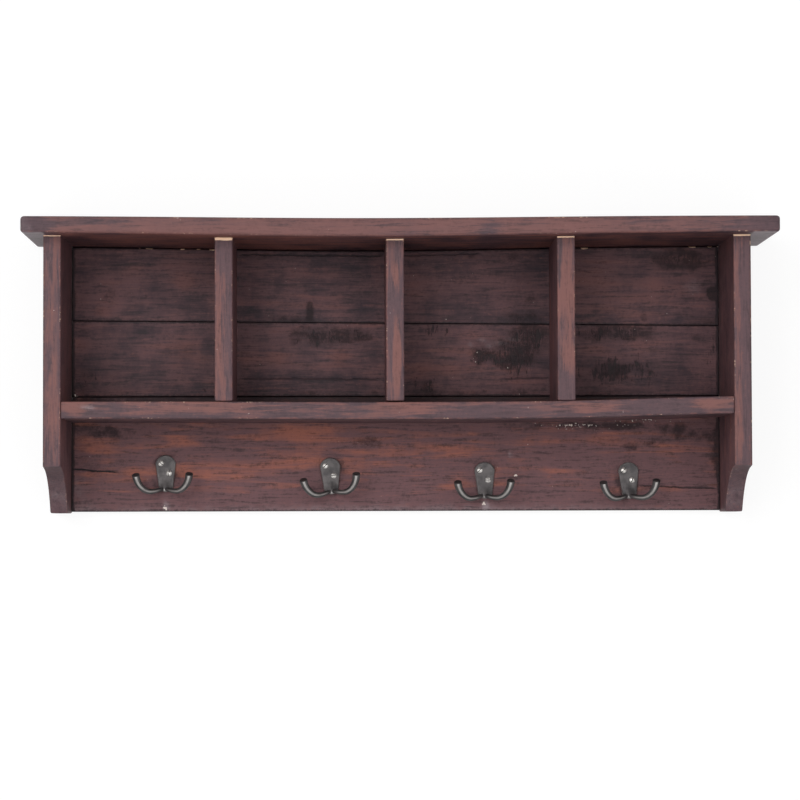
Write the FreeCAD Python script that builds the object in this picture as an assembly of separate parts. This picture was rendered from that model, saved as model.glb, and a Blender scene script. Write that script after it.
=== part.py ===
import FreeCAD, Part
import math
import os

# Wall coat rack in stained boards: a top board over two side panels, a shelf with three
# dividers that make four cubbies, back planks, and a hook board with four cast double hooks.
#
# Millimetres. The wall is the plane Y = 0 and the rack stands out of it towards -Y.
# X runs along the rack, Z is up, and the origin lies midway between the two hanger holes.

V = FreeCAD.Vector

# Top board
TOP_THICK = 22.0
SIDE_OVERHANG = 28.0      # past the outer face of each side panel
FRONT_OVERHANG = 32.0     # past the front edges of the side panels
TOP_OFFSET = 3.5          # the board is nailed on this far to the right of the carcass
TOP_EASE = 4.0            # rounding of the edges that a hand meets
HOUSING_DEPTH = 6.0       # stopped grooves in the underside that the uprights stand in

# Side panels, with a cove cut out of the lower front corner
CARCASS_WIDTH = 858.0     # over the outer faces of the side panels
PANEL_DEPTH = 152.0
PANEL_THICK = 21.5
COVE_HEIGHT = 55.0
COVE_RADIUS = 108.0

# Shelf and dividers
CUBBY_HEIGHT = 199.5      # shelf to the underside of the top board
CUBBY_WIDTH = 185.5       # the three cubbies counted from the left, the fourth takes the rest
SHELF_THICK = 21.0
APRON_HEIGHT = 113.5      # shelf down to the feet of the side panels
DIVIDER_THICK = 22.0
DIVIDERS = ("left", "centre", "right")
BOARD_EASE = 2.0          # rounding of the front edges of shelf, dividers and panels

# Back planks, let in between the side panels
PLANK_THICK = 12.0
PLANK_END_GAP = 1.5
SEAM_GAP = 1.0
UPPER_PLANK_LEFT = 92.0   # height of the uppermost plank at its two ends
UPPER_PLANK_RIGHT = 99.0
HOOK_BOARD_RISE = 12.0    # the hook board stands this far above the shelf
HOOK_BOARD_LIFT = 2.0     # and stops this far above the feet

# Cast double hooks, counted from the left
HOOK_INSET_LEFT = 118.0   # inner face of a side panel to the nearest hook
HOOK_INSET_RIGHT = 116.0
HOOK_SHIFT = 12.7         # the two middle hooks are this far right of even spacing
HOOK_DROP_1 = 41.0        # underside of the shelf to the top of each plate
HOOK_DROP_2 = 44.5
HOOK_DROP_3 = 50.5
HOOK_DROP_4 = 51.0
HOOK_TILTS = (1.0, 4.0, 1.5, 2.0)  # degrees
PLATE_WIDTH = 26.0
PLATE_FOOT_WIDTH = 19.0
PLATE_HEIGHT = 46.0
PLATE_THICK = 3.0
PLATE_EASE = 1.0
PRONG_ROOT_DROP = 44.5    # top of the plate to the axis of the prongs at their root
PRONG_ROOT_OUT = 3.5      # the same axis in front of the hook board
PRONG_ROOT_LEFT = 2.2     # and left of the middle of the plate
PRONG_SPREAD = 42.0       # degrees from the hook board's face
PRONG_DIP = 2.0           # degrees below level at the root
PRONG_RUN = 20.5          # straight stretch out of the plate
PRONG_RADIUS = 23.5       # bend of the prong up to its tip
PRONG_TURN = 83.0         # degrees from level at the tip
PRONG_ROOT_R = 2.5
PRONG_TIP_R = 4.9
PRONG_STEPS = 6           # stretches along its bend

# Slotted round-head screws through the hook plates
SCREW_UPPER_LEFT = 6.0    # places on the plate: left or right of its middle, and down from its top
SCREW_UPPER_DROP = 9.8
SCREW_LOWER_RIGHT = 4.0
SCREW_LOWER_DROP = 22.5
SCREW_R = 1.5
SCREW_HEAD_R = 3.5
SCREW_CROWN_R = 2.3       # flat on top of the head
SCREW_HEAD_HEIGHT = 1.8
SCREW_SLOT = 0.9
SCREW_SLOT_DEPTH = 0.8
SCREW_LENGTH = 13.0       # under the head
SCREW_TURNS = (-42.0, 80.0, 38.0, 4.0, 40.0, 2.0, 44.0, 66.0)  # degrees, slot of each screw

# Keyhole hangers let into the rear edges of the side panels
HANGER_DROP = 70.0        # top face of the rack to the hanger hole
HANGER_WIDTH = 15.0
HANGER_THICK = 2.0
HANGER_HOLE_R = 4.5
HANGER_SLOT = 5.0
HANGER_SLOT_RISE = 12.0   # hole centre to slot end centre
HANGER_SCREW_SPAN = 43.0
HANGER_END = 5.5          # screw centre to the end of the plate
HANGER_SCREW_R = 1.4
HANGER_SCREW_HEAD_R = 2.8
HANGER_SCREW_LENGTH = 16.0
POCKET_WIDTH = 11.0       # room behind the plate for the head of the wall screw
POCKET_LENGTH = 25.0
POCKET_DEPTH = 12.0

# Headless brads of square wire, driven flush
BRAD_SIDE = 1.6
BRAD_LENGTH = 50.0
BACK_BRAD_LENGTH = 30.0
BRAD_INSET = 35.0         # from the front and back edges of the board that is nailed

# Room around screws in their holes and around the hangers in their recesses
FIT = 0.1

# Flats round a prong, and round a hook screw and its holes
ROUND_SIDES = 12

# Planes and lines that follow from the sizes above
TOP_Z = HANGER_DROP
UNDER_Z = TOP_Z - TOP_THICK
HOUSING_Z = UNDER_Z + HOUSING_DEPTH
SHELF_Z = UNDER_Z - CUBBY_HEIGHT
APRON_Z = SHELF_Z - SHELF_THICK
FOOT_Z = APRON_Z - APRON_HEIGHT
OUTER_X = CARCASS_WIDTH / 2
INNER_X = OUTER_X - PANEL_THICK
FRONT_Y = -PANEL_DEPTH
FACE_Y = -PLANK_THICK
TOP_FRONT_Y = FRONT_Y - FRONT_OVERHANG
PANEL_CENTRE = OUTER_X - PANEL_THICK / 2
DIVIDER_X = [
    -INNER_X + CUBBY_WIDTH + DIVIDER_THICK / 2 + i * (CUBBY_WIDTH + DIVIDER_THICK)
    for i in range(len(DIVIDERS))
]
BRAD_ROWS = (FRONT_Y + BRAD_INSET, FACE_Y - BRAD_INSET)
HOOK_FIRST_X = HOOK_INSET_LEFT - INNER_X
HOOK_LAST_X = INNER_X - HOOK_INSET_RIGHT
HOOK_PITCH = (HOOK_LAST_X - HOOK_FIRST_X) / 3
HOOK_SPOTS = (
    (HOOK_FIRST_X, APRON_Z - HOOK_DROP_1),
    (HOOK_FIRST_X + HOOK_PITCH + HOOK_SHIFT, APRON_Z - HOOK_DROP_2),
    (HOOK_LAST_X - HOOK_PITCH + HOOK_SHIFT, APRON_Z - HOOK_DROP_3),
    (HOOK_LAST_X, APRON_Z - HOOK_DROP_4),
)
SCREW_SPOTS = ((-SCREW_UPPER_LEFT, -SCREW_UPPER_DROP), (SCREW_LOWER_RIGHT, -SCREW_LOWER_DROP))
HANGER_SCREW_ROWS = (-HANGER_SCREW_SPAN / 2, HANGER_SCREW_SPAN / 2)


def block(x0, x1, y0, y1, z0, z1):
    """Box between two corners."""
    return Part.makeBox(x1 - x0, y1 - y0, z1 - z0, V(x0, y0, z0))


def chosen_edges(shape, chosen):
    """Edges of a shape whose midpoint the test accepts."""
    return [e for e in shape.Edges if chosen(e.valueAt((e.FirstParameter + e.LastParameter) / 2))]


def ease_edges(shape, radius, chosen):
    """Round the edges whose midpoint the test accepts."""
    return shape.makeFillet(radius, chosen_edges(shape, chosen))


def ring(middle, radius, across, up):
    """Closed polygon round a point, in the plane of two unit directions."""
    corners = []
    for i in range(ROUND_SIDES):
        angle = 2 * math.pi * i / ROUND_SIDES
        corners.append(middle + across * (radius * math.cos(angle)) + up * (radius * math.sin(angle)))
    return Part.makePolygon(corners + corners[:1])


def rod(radius, y0, y1):
    """Small round bar along Y, through the origin's axis."""
    end = ring(V(0, y0, 0), radius, V(1, 0, 0), V(0, 0, 1))
    return Part.Face(end).extrude(V(0, y1 - y0, 0))


def near(a, b):
    """True where two places are the same."""
    return abs(a - b) < 1e-6


def moved(shape, by):
    """Copy of a shape, moved by a vector."""
    copy = shape.copy()
    copy.translate(by)
    return copy


def cut_all(shape, tools):
    """Shape less every tool."""
    return shape.cut(Part.makeCompound(tools))


def brad(head, along, length):
    """Brad whose upper end lies at the surface point head, driven in along an axis."""
    nail = block(-BRAD_SIDE / 2, BRAD_SIDE / 2, -BRAD_SIDE / 2, BRAD_SIDE / 2, -length, 0)
    nail.Placement = FreeCAD.Placement(head, FreeCAD.Rotation(V(0, 0, -1), along))
    return nail


def make_brads():
    """The four groups of brads: top, shelf ends, divider feet and back planks."""
    uprights = [-PANEL_CENTRE] + DIVIDER_X + [PANEL_CENTRE]
    top = [brad(V(x, y, TOP_Z), V(0, 0, -1), BRAD_LENGTH) for x in uprights for y in BRAD_ROWS]
    shelf_mid = (SHELF_Z + APRON_Z) / 2
    shelf = [
        brad(V(side * OUTER_X, y, shelf_mid), V(-side, 0, 0), BRAD_LENGTH)
        for side in (-1, 1)
        for y in BRAD_ROWS
    ]
    feet = [brad(V(x, y, APRON_Z), V(0, 0, 1), BRAD_LENGTH) for x in DIVIDER_X for y in BRAD_ROWS]
    back = []
    for x in DIVIDER_X:
        seam = seam_height(x)
        for low, high in ((SHELF_Z + HOOK_BOARD_RISE, seam), (seam, UNDER_Z)):
            for part in (0.25, 0.75):
                back.append(brad(V(x, 0, low + part * (high - low)), V(0, -1, 0), BACK_BRAD_LENGTH))
    walls = [-INNER_X] + DIVIDER_X + [INNER_X]
    for left, right in zip(walls, walls[1:]):
        back.append(brad(V((left + right) / 2, 0, shelf_mid), V(0, -1, 0), BACK_BRAD_LENGTH))
    return {"top_brads": top, "shelf_brads": shelf, "divider_brads": feet, "back_brads": back}


def seam_height(x):
    """Height of the sloping seam below the uppermost plank, at a place along the rack."""
    share = (x + INNER_X) / (2 * INNER_X)
    return UNDER_Z - UPPER_PLANK_LEFT - share * (UPPER_PLANK_RIGHT - UPPER_PLANK_LEFT)


def make_top():
    """Top board with rounded front and ends, and a stopped housing for every upright."""
    half = OUTER_X + SIDE_OVERHANG
    mid = (UNDER_Z + TOP_Z) / 2
    board = block(TOP_OFFSET - half, TOP_OFFSET + half, TOP_FRONT_Y, 0, UNDER_Z, TOP_Z)
    board = ease_edges(board, TOP_EASE, lambda p: not near(p.y, 0) and not near(p.z, mid))
    ends = [(side * PANEL_CENTRE, PANEL_THICK / 2, 0) for side in (-1, 1)]
    middles = [(x, DIVIDER_THICK / 2, FACE_Y) for x in DIVIDER_X]
    grooves = [
        block(x - wide, x + wide, FRONT_Y, back, UNDER_Z, HOUSING_Z)
        for x, wide, back in ends + middles
    ]
    return cut_all(board, grooves)


def make_panel(side):
    """Side panel: straight front, then a cove that sweeps back to a narrow foot at the wall."""
    arris = V(0, FRONT_Y, FOOT_Z + COVE_HEIGHT)
    centre_z = arris.z - COVE_RADIUS

    def on_cove(height):
        drop = height - centre_z
        return V(0, FRONT_Y + math.sqrt(COVE_RADIUS ** 2 - drop ** 2), height)

    toe = on_cove(FOOT_Z)
    middle = on_cove(FOOT_Z + 0.6 * COVE_HEIGHT)
    edges = [
        Part.LineSegment(V(0, 0, FOOT_Z), V(0, 0, HOUSING_Z)).toShape(),
        Part.LineSegment(V(0, 0, HOUSING_Z), V(0, FRONT_Y, HOUSING_Z)).toShape(),
        Part.LineSegment(V(0, FRONT_Y, HOUSING_Z), arris).toShape(),
        Part.Arc(arris, middle, toe).toShape(),
        Part.LineSegment(toe, V(0, 0, FOOT_Z)).toShape(),
    ]
    panel = Part.Face(Part.Wire(edges)).extrude(V(PANEL_THICK, 0, 0))
    panel.translate(V(side * PANEL_CENTRE - PANEL_THICK / 2, 0, 0))
    mid_front = (HOUSING_Z + arris.z) / 2
    panel = ease_edges(panel, BOARD_EASE, lambda p: near(p.y, FRONT_Y) and near(p.z, mid_front))
    return panel.cut(hanger_room(side))


def make_shelf():
    """Shelf board between the side panels, its front edge eased."""
    shelf = block(-INNER_X, INNER_X, FRONT_Y, FACE_Y, APRON_Z, SHELF_Z)
    return ease_edges(shelf, BOARD_EASE, lambda p: near(p.y, FRONT_Y) and near(p.x, 0))


def make_divider(x):
    """Upright divider from the shelf into its housing in the top board."""
    board = block(x - DIVIDER_THICK / 2, x + DIVIDER_THICK / 2, FRONT_Y, FACE_Y, SHELF_Z, HOUSING_Z)
    mid = (SHELF_Z + HOUSING_Z) / 2
    return ease_edges(board, BOARD_EASE, lambda p: near(p.y, FRONT_Y) and near(p.z, mid))


def plank(left_low, right_low, left_high, right_high):
    """Back plank between the side panels whose long edges may slope."""
    end = INNER_X - PLANK_END_GAP
    corners = [V(-end, 0, left_low), V(end, 0, right_low), V(end, 0, right_high), V(-end, 0, left_high)]
    outline = Part.makePolygon(corners + corners[:1])
    return Part.Face(outline).extrude(V(0, FACE_Y, 0))


def make_back():
    """Two planks behind the cubbies, and the hook board below them."""
    end = INNER_X - PLANK_END_GAP
    left = seam_height(-end)
    right = seam_height(end)
    low = SHELF_Z + HOOK_BOARD_RISE
    foot = FOOT_Z + HOOK_BOARD_LIFT
    return {
        "back_plank_upper": plank(left, right, UNDER_Z, UNDER_Z),
        "back_plank_middle": plank(low, low, left - SEAM_GAP, right - SEAM_GAP),
        "hook_board": plank(foot, foot, low - SEAM_GAP, low - SEAM_GAP),
    }


def plate_outline():
    """Egg outline of a hook plate: a wide crown and a narrow foot, joined by their tangents."""
    crown = PLATE_WIDTH / 2
    foot = PLATE_FOOT_WIDTH / 2
    foot_z = foot - PLATE_HEIGHT
    slope = (crown - foot) / (crown + foot_z)
    lean = V(math.sqrt(1 - slope ** 2), 0, slope)
    crown_right = V(0, 0, -crown) + lean * crown
    foot_right = V(0, 0, foot_z) + lean * foot
    crown_left = V(-crown_right.x, 0, crown_right.z)
    foot_left = V(-foot_right.x, 0, foot_right.z)
    edges = [
        Part.Arc(crown_left, V(0, 0, 0), crown_right),
        Part.LineSegment(crown_right, foot_right),
        Part.Arc(foot_right, V(0, 0, -PLATE_HEIGHT), foot_left),
        Part.LineSegment(foot_left, crown_left),
    ]
    return Part.Wire([edge.toShape() for edge in edges])


def make_prong(side):
    """Prong that runs out of the plate's foot and bends up to a cut tip, thicker all the way."""
    spread = math.radians(PRONG_SPREAD)
    out = V(side * math.cos(spread), -math.sin(spread), 0)
    across = V(side * math.sin(spread), math.cos(spread), 0)
    up = V(0, 0, 1)

    def heading(turn):
        angle = math.radians(turn)
        return out * math.cos(angle) + up * math.sin(angle)

    root = V(-PRONG_ROOT_LEFT, -PRONG_ROOT_OUT, -PRONG_ROOT_DROP)
    centre = root + heading(-PRONG_DIP) * PRONG_RUN + heading(90 - PRONG_DIP) * PRONG_RADIUS
    bend = math.radians(PRONG_TURN + PRONG_DIP) * PRONG_RADIUS
    sections = [ring(root, PRONG_ROOT_R, across, heading(90 - PRONG_DIP))]
    for i in range(PRONG_STEPS + 1):
        share = i / PRONG_STEPS
        turn = share * (PRONG_TURN + PRONG_DIP) - PRONG_DIP
        grown = (PRONG_RUN + share * bend) / (PRONG_RUN + bend)
        radius = PRONG_ROOT_R + grown * (PRONG_TIP_R - PRONG_ROOT_R)
        normal = heading(turn + 90)
        sections.append(ring(centre - normal * PRONG_RADIUS, radius, across, normal))
    return Part.makeLoft(sections, True, True)


def hook_places():
    """Place of every hook: its plate's top on the face of the hook board, turned by its tilt."""
    places = []
    for (x, z), tilt in zip(HOOK_SPOTS, HOOK_TILTS):
        places.append(FreeCAD.Placement(V(x, FACE_Y, z), FreeCAD.Rotation(V(0, -1, 0), tilt)))
    return places


def make_hook():
    """Cast hook in its own frame: egg plate with two screw holes, and two prongs."""
    plate = Part.Face(plate_outline()).extrude(V(0, -PLATE_THICK, 0))
    plate = plate.makeChamfer(PLATE_EASE, chosen_edges(plate, lambda p: near(p.y, -PLATE_THICK)))
    holes = [moved(rod(SCREW_R + FIT, -PLATE_THICK, 0), V(x, 0, z)) for x, z in SCREW_SPOTS]
    cast = plate.fuse([make_prong(-1), make_prong(1)])
    return cut_all(cast, holes).removeSplitter()


def make_screw(turn):
    """Slotted screw along Y: the head's seat at the origin, the shank towards +Y."""
    rim = ring(V(0, 0, 0), SCREW_HEAD_R, V(1, 0, 0), V(0, 0, 1))
    crown = ring(V(0, -SCREW_HEAD_HEIGHT, 0), SCREW_CROWN_R, V(1, 0, 0), V(0, 0, 1))
    head = Part.makeLoft([rim, crown], True, True)
    slot = block(
        -SCREW_HEAD_R, SCREW_HEAD_R, -SCREW_HEAD_HEIGHT, SCREW_SLOT_DEPTH - SCREW_HEAD_HEIGHT,
        -SCREW_SLOT / 2, SCREW_SLOT / 2,
    )
    head = head.cut(slot)
    head.rotate(V(0, 0, 0), V(0, -1, 0), turn)
    return head.fuse(rod(SCREW_R, 0, SCREW_LENGTH))


def make_hook_screws():
    """Two screws for every hook, each with its slot where the driver left it."""
    screws = []
    turns = iter(SCREW_TURNS)
    for place in hook_places():
        for x, z in SCREW_SPOTS:
            screw = moved(make_screw(next(turns)), V(x, -PLATE_THICK, z))
            screw.Placement = place * screw.Placement
            screws.append(screw)
    return screws


def pilot_holes():
    """Blind holes in the hook board for the hook screws."""
    depth = SCREW_LENGTH - PLATE_THICK + FIT
    holes = []
    for place in hook_places():
        for x, z in SCREW_SPOTS:
            hole = moved(rod(SCREW_R + FIT, 0, depth), V(x, 0, z))
            hole.Placement = place * hole.Placement
            holes.append(hole)
    return holes


def hanger_plate(grow):
    """Hanger plate at the wall plane, grown all round by a clearance."""
    across = HANGER_WIDTH / 2 + grow
    along = HANGER_SCREW_SPAN / 2 + HANGER_END + grow
    return block(-across, across, -HANGER_THICK, 0, -along, along)


def hanger_screw(z, grow):
    """Countersunk screw of a hanger, its head flush with the wall plane; grown it is its hole."""
    neck = HANGER_SCREW_R + grow
    head = Part.makeCone(HANGER_SCREW_HEAD_R + grow, neck, HANGER_THICK, V(0, 0, z), V(0, -1, 0))
    length = HANGER_SCREW_LENGTH - HANGER_THICK + grow
    shank = Part.makeCylinder(neck, length, V(0, -HANGER_THICK, z), V(0, -1, 0))
    return head.fuse(shank)


def make_hanger():
    """Hanger plate with its keyhole and two countersunk holes."""
    through = V(0, -HANGER_THICK, 0)
    along = V(0, 1, 0)
    keyhole = [
        Part.makeCylinder(HANGER_HOLE_R, HANGER_THICK, through, along),
        Part.makeCylinder(HANGER_SLOT / 2, HANGER_THICK, through + V(0, 0, HANGER_SLOT_RISE), along),
        block(-HANGER_SLOT / 2, HANGER_SLOT / 2, -HANGER_THICK, 0, 0, HANGER_SLOT_RISE),
    ]
    holes = [hanger_screw(z, FIT) for z in HANGER_SCREW_ROWS]
    return cut_all(hanger_plate(0), [keyhole[0].fuse(keyhole[1:])] + holes)


def hanger_room(side):
    """What a hanger takes out of a panel's rear edge: recess, pocket and screw holes."""
    low = (HANGER_SLOT_RISE - POCKET_LENGTH) / 2
    pocket = block(
        -POCKET_WIDTH / 2, POCKET_WIDTH / 2, -POCKET_DEPTH, 0, low, low + POCKET_LENGTH,
    )
    screws = [hanger_screw(z, FIT) for z in HANGER_SCREW_ROWS]
    return moved(hanger_plate(FIT).fuse([pocket] + screws), V(side * PANEL_CENTRE, 0, 0))


def build():
    """Every node of the rack by its name."""
    brads = make_brads()
    nodes = {"top_board": cut_all(make_top(), brads["top_brads"])}
    for side, word in ((-1, "left"), (1, "right")):
        nodes["side_panel_" + word] = cut_all(make_panel(side), brads["top_brads"] + brads["shelf_brads"])
    shelf_brads = brads["shelf_brads"] + brads["divider_brads"] + brads["back_brads"]
    nodes["shelf_board"] = cut_all(make_shelf(), shelf_brads)
    divider_brads = brads["top_brads"] + brads["divider_brads"] + brads["back_brads"]
    for word, x in zip(DIVIDERS, DIVIDER_X):
        nodes["divider_" + word] = cut_all(make_divider(x), divider_brads)
    for name, board in make_back().items():
        nodes[name] = cut_all(board, brads["back_brads"])
    nodes["hook_board"] = cut_all(nodes["hook_board"], pilot_holes())
    cast = make_hook()
    for number, place in enumerate(hook_places(), start=1):
        copy = cast.copy()
        copy.Placement = place
        nodes["hook_" + str(number)] = copy
    nodes["hook_screws"] = Part.makeCompound(make_hook_screws())
    hanger = make_hanger()
    hanger_screws = []
    for side, word in ((-1, "left"), (1, "right")):
        middle = V(side * PANEL_CENTRE, 0, 0)
        nodes["hanger_" + word] = moved(hanger, middle)
        hanger_screws += [moved(hanger_screw(z, 0), middle) for z in HANGER_SCREW_ROWS]
    nodes["hanger_screws"] = Part.makeCompound(hanger_screws)
    for name, group in brads.items():
        nodes[name] = Part.makeCompound(group)
    return nodes


os.makedirs("parts", exist_ok=True)
for name, shape in build().items():
    shape.exportStep("parts/" + name + ".step")
    print(name, "valid", shape.isValid(), "solids", len(shape.Solids), "volume", round(shape.Volume, 1))
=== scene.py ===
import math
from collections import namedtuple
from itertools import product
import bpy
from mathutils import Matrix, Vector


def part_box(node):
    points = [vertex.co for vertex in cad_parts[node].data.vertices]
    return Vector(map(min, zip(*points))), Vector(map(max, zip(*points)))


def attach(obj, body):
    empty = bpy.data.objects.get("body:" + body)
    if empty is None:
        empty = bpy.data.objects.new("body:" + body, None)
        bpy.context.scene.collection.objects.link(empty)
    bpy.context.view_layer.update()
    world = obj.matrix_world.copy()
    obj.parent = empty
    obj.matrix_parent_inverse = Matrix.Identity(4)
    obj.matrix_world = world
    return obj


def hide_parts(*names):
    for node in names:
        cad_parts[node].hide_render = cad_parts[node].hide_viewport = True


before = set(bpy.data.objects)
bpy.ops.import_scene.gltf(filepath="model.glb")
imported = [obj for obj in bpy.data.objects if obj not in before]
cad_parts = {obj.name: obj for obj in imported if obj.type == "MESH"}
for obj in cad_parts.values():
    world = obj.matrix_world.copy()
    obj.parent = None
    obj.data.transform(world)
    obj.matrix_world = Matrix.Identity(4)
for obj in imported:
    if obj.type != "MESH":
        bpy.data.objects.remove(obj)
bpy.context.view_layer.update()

# %% [markdown]
# # A rustic wall coat rack
# The rack is nailed together from dark stained boards: a thick top, two side panels with a coved foot,
# a shelf, three dividers, two back planks and a hook board that carries four cast double hooks. The
# solids come from the CAD frame, in metres. This lesson puts a worn surface over each of them, piece by
# piece, so that every board and hook stays where the frame has it.

# %% Frame
from types import SimpleNamespace

import bpy
import numpy as np
from mathutils import Matrix, Vector

MM = 0.001


def box_mm(node):
    """Lowest and highest corner of a node, in millimetres."""
    return np.array(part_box(node)) / MM


# %% [markdown]
# ## Camera
# The photograph was taken from a little below the middle of the rack and slightly to its left, with a
# long lens, so the sides hardly converge. The place and the three angles were found by matching the
# corners of the boards. The camera looks along its own -Z, so the columns of its matrix are right, up
# and backwards.

# %% Camera
CAMERA_AT = Vector((-65.2, -3639.9, -301.15)) * MM
YAW, PITCH, ROLL = (math.radians(a) for a in (1.1054, 2.4707, -0.1602))
LENS, SENSOR = 129.97, 36.0             # focal length and width of the picture, mm
SIGHT = 50.0                            # how far the camera sees, m

forward = Vector((math.sin(YAW) * math.cos(PITCH), math.cos(YAW) * math.cos(PITCH), math.sin(PITCH)))
level = Vector((math.cos(YAW), -math.sin(YAW), 0))
upward = level.cross(forward)
right = level * math.cos(ROLL) + upward * math.sin(ROLL)
above = upward * math.cos(ROLL) - level * math.sin(ROLL)

camera = bpy.data.objects.new("camera", bpy.data.cameras.new("camera"))
camera.data.lens = LENS
camera.data.sensor_width = SENSOR
camera.data.clip_end = SIGHT
turn = Matrix((right, above, -forward)).transposed().to_4x4()
camera.matrix_world = Matrix.Translation(CAMERA_AT) @ turn
bpy.context.scene.collection.objects.link(camera)
bpy.context.scene.camera = camera
print("camera at", [round(v, 3) for v in CAMERA_AT])

# %% [markdown]
# ## Node trees as sums
# A shader is easier to read as a formula than as a list of links. `Value` wraps one socket, and its
# operators add a Math node each, so `1 - worn * 0.5` builds the nodes for it. `Finish` holds the
# nodes of one material, or of the world. Its method `node` makes any other node: settings first, then
# the values or links of its sockets.

# %% Shader helpers
SEED_STEP = (3.7, 1.9, 5.3)             # a seed of 1 moves a noise by this many lumps along X, Y and Z


class Value:
    """One output socket that Python's operators can work on."""

    def __init__(self, tree, socket):
        self.tree = tree
        self.socket = socket

    def math(self, operation, first, second):
        """Math node on two values or numbers."""
        node = self.tree.nodes.new("ShaderNodeMath")
        node.operation = operation
        for slot, value in zip(node.inputs, (first, second)):
            if isinstance(value, Value):
                self.tree.links.new(value.socket, slot)
            else:
                slot.default_value = value
        return Value(self.tree, node.outputs[0])

    def __add__(self, other):
        return self.math("ADD", self, other)

    def __radd__(self, other):
        return self.math("ADD", other, self)

    def __sub__(self, other):
        return self.math("SUBTRACT", self, other)

    def __rsub__(self, other):
        return self.math("SUBTRACT", other, self)

    def __mul__(self, other):
        return self.math("MULTIPLY", self, other)

    def __rmul__(self, other):
        return self.math("MULTIPLY", other, self)


class Finish:
    """A new material, or a world, whose nodes are made by expressions."""

    def __init__(self, owner):
        owner.use_nodes = True
        self.owner = owner
        self.tree = owner.node_tree
        self.tree.nodes.clear()

    def node(self, kind, settings=None, inputs=None, output=0):
        """New node of a kind: its settings, then the values or links of its sockets."""
        node = self.tree.nodes.new(kind)
        for key, value in (settings or {}).items():
            setattr(node, key, value)
        slots = {s.name: s for s in node.inputs} | {s.identifier: s for s in node.inputs}
        for key, value in (inputs or {}).items():
            if isinstance(value, Value):
                self.tree.links.new(value.socket, slots[key])
            else:
                slots[key].default_value = value
        return Value(self.tree, node.outputs[output]) if node.outputs else None

    def mark(self, name):
        """A number that the mesh carries at every point."""
        return self.node("ShaderNodeAttribute", {"attribute_name": name}, output="Fac")

    def noise(self, size, seed, detail=3.0, rough=0.55, bend=0.0):
        """Noise whose lumps have the given size in mm along X, Y and Z."""
        scale = [1 / (s * MM) for s in size]
        shift = [step * seed for step in SEED_STEP]
        place = self.node("ShaderNodeTexCoord", output="Object")
        place = self.node("ShaderNodeMapping", None, {"Vector": place, "Scale": scale, "Location": shift})
        values = {"Vector": place, "Scale": 1.0, "Detail": detail, "Roughness": rough, "Distortion": bend}
        return self.node("ShaderNodeTexNoise", None, values)

    def step(self, value, low, high):
        """Soft step of a value from 0 at low to 1 at high; low may lie above high."""
        settings = {"interpolation_type": "SMOOTHSTEP"}
        return self.node("ShaderNodeMapRange", settings, {"Value": value, "From Min": low, "From Max": high})

    def mix(self, share, one, other):
        """Colour that goes from one to the other as the share goes from 0 to 1."""
        values = {"Factor_Float": share, "A_Color": one, "B_Color": other}
        return self.node("ShaderNodeMix", {"data_type": "RGBA"}, values, output=2)

    def surface(self, inputs, height, depth):
        """Principled surface with a bump: a height of 0 to 1, times the given depth in mm."""
        bump = {"Height": height, "Distance": depth * MM, "Strength": 1.0}
        normal = self.node("ShaderNodeBump", None, bump)
        shader = self.node("ShaderNodeBsdfPrincipled", None, dict(inputs, Normal=normal))
        self.node("ShaderNodeOutputMaterial", None, {"Surface": shader})
        return self.owner


def paint(r, g, b):
    """Linear colour of a shade written as it looks on a screen, 0 to 255, by the usual screen curve."""
    shade = np.array([r, g, b]) / 255
    linear = np.where(shade <= 0.04045, shade / 12.92, ((shade + 0.055) / 1.055) ** 2.4)
    return (*linear.tolist(), 1.0)


print("middle grey of a screen is", round(paint(128, 128, 128)[0], 3), "in linear light")

# %% [markdown]
# ## Studio
# The background of the photograph is plain white with a breath of shadow beside the rack. A wall of
# emission alone would swallow that shadow, so for the camera the wall mixes white with a matt white that
# still takes shade. For every other ray, and from behind, it is clear: light reaches the back of the
# rack, and a camera behind the wall sees through it. A pale floor lies well below the rack.

# %% Studio
FLOOR_Z, WALL_TOP = -0.95, 2.0          # m
STAGE_HALF = 3.0
WALL_GAP = 0.001                        # from the wall plane of the frame to the sheet, m
WHITE = 1.07                            # strength of the plain white
WALL_SHARE, FLOOR_SHARE = 0.8, 0.5      # how much of each is plain white to the camera
MATT_WHITE = (0.86, 0.86, 0.86, 1)
PLAIN_WHITE = (1, 1, 1, 1)
BLACK = (0, 0, 0, 1)
SHADE_MARGIN = 0.008                    # the painted shade behind the planks reaches this far past their ends, m
shade_low = box_mm("hook_board")[0] * MM
shade_high = box_mm("back_plank_upper")[1] * MM


def sheet(name, corners, material):
    """Flat four-cornered sheet of the studio, with its material."""
    mesh = bpy.data.meshes.new(name)
    mesh.from_pydata(corners, [], [(0, 1, 2, 3)])
    mesh.materials.append(material)
    thing = bpy.data.objects.new(name, mesh)
    bpy.context.scene.collection.objects.link(thing)


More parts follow.
